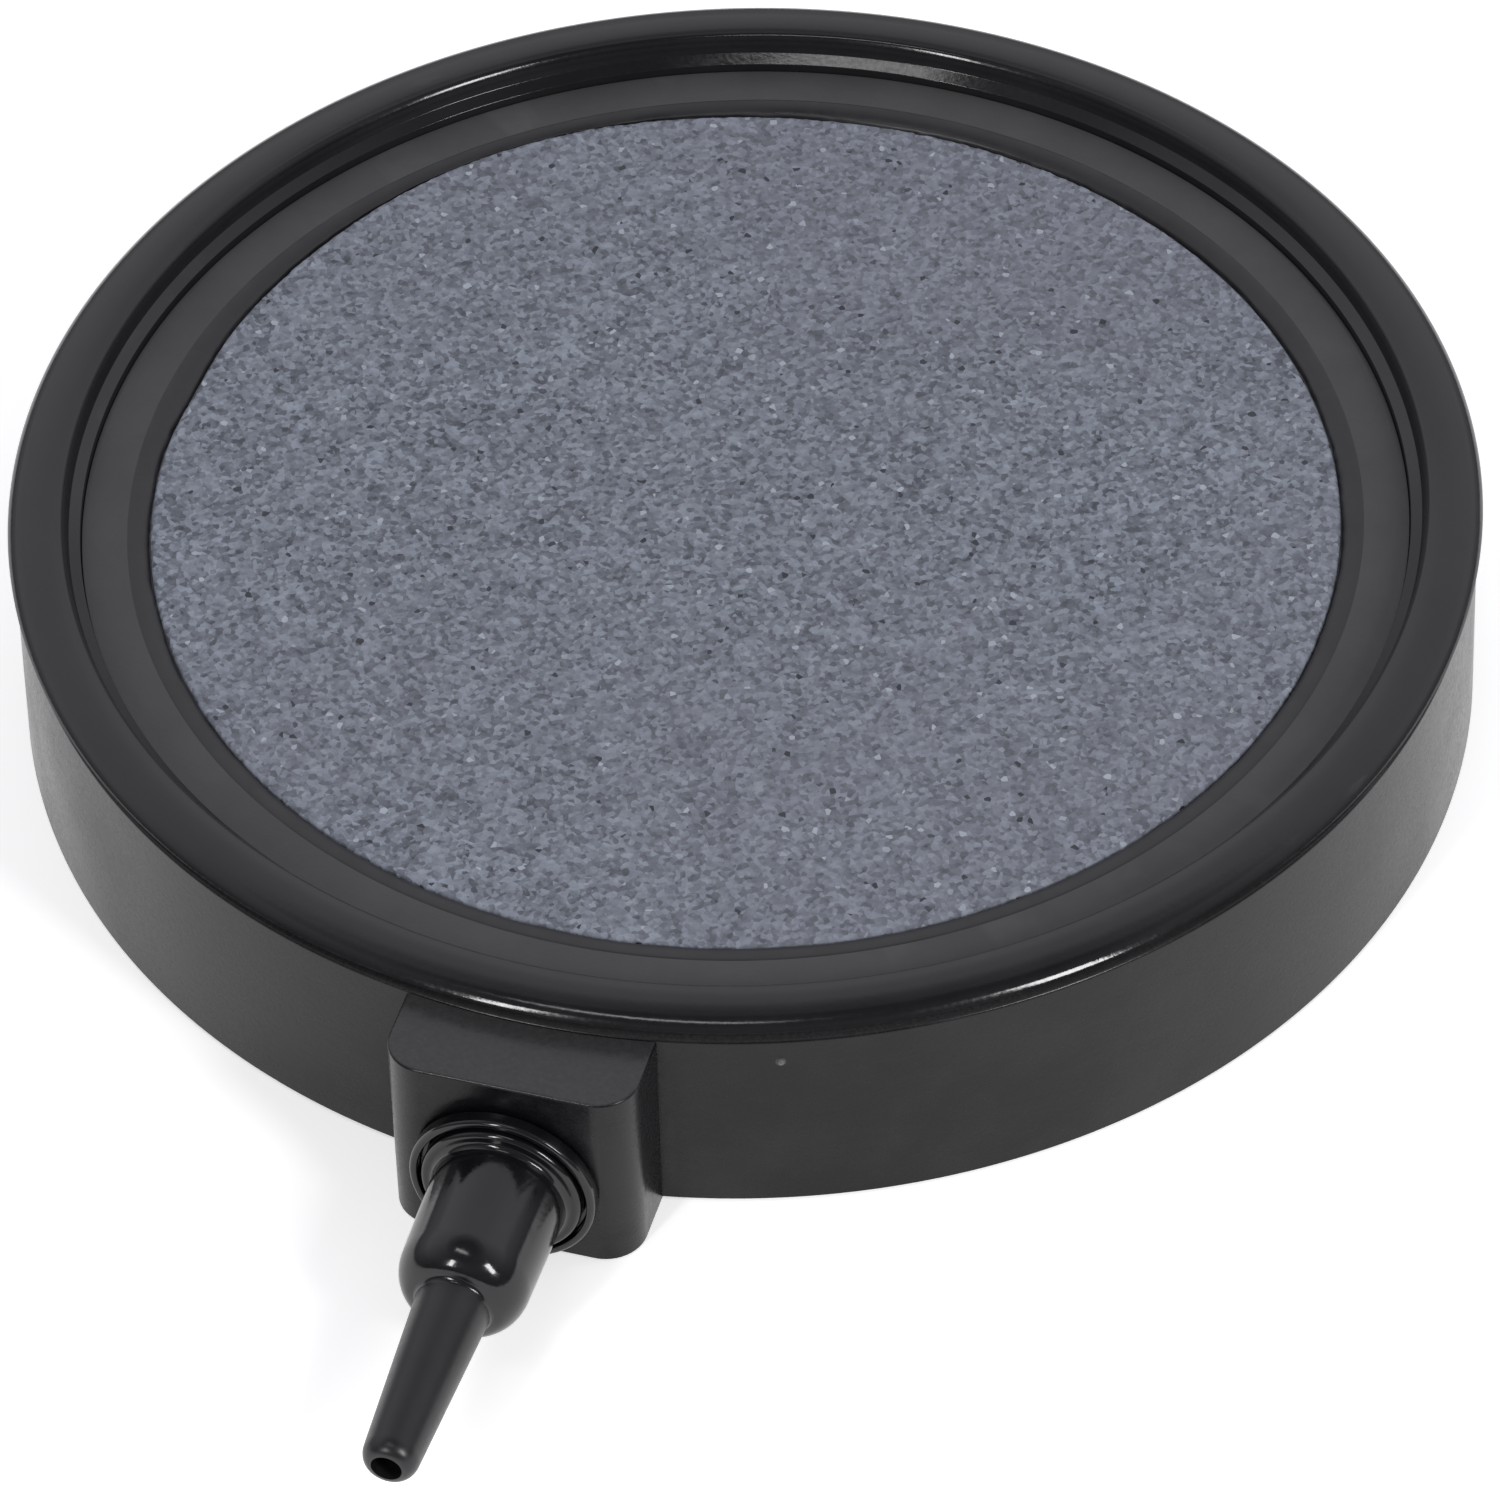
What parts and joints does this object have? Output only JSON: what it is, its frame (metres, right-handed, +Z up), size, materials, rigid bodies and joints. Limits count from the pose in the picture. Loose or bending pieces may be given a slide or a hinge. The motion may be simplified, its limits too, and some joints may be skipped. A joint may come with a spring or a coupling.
{
  "type": "air stone",
  "caption": "Round flat air stone: a porous disc in a low dish with a raised rim, fed through a push-in nozzle on a square boss.",
  "frame": {"origin": "centre of the disc on its flat underside", "axes": "+Z up through the porous face; the nozzle points along -Y; X runs across the inlet boss"},
  "size_m": [0.107, 0.1398, 0.0182],
  "materials": {
    "gloss_black_plastic": "moulded, semi-gloss",
    "satin_black_plastic": "moulded, satin",
    "porous_stone": "bonded fine grit, matt, with small pits",
    "sealant": "satin, slightly uneven",
    "seal_rubber": "matt"
  },
  "bodies": {
    "housing": {"base_dish": "satin_black_plastic", "cover_ring": "gloss_black_plastic", "cover_seal": "seal_rubber", "stone_carrier": "satin_black_plastic", "stone_disc": "porous_stone", "stone_gasket": "seal_rubber", "sealant_bead": "sealant", "inlet_bush": "gloss_black_plastic"},
    "nozzle": {"inlet_nozzle": "gloss_black_plastic", "nozzle_o_ring": "seal_rubber"}
  },
  "joints": [
    {"name": "nozzle_pull", "type": "slide", "parent": "housing", "child": "nozzle", "axis": [0, -1, 0], "range_m": [0, 0.008]}
  ]
}
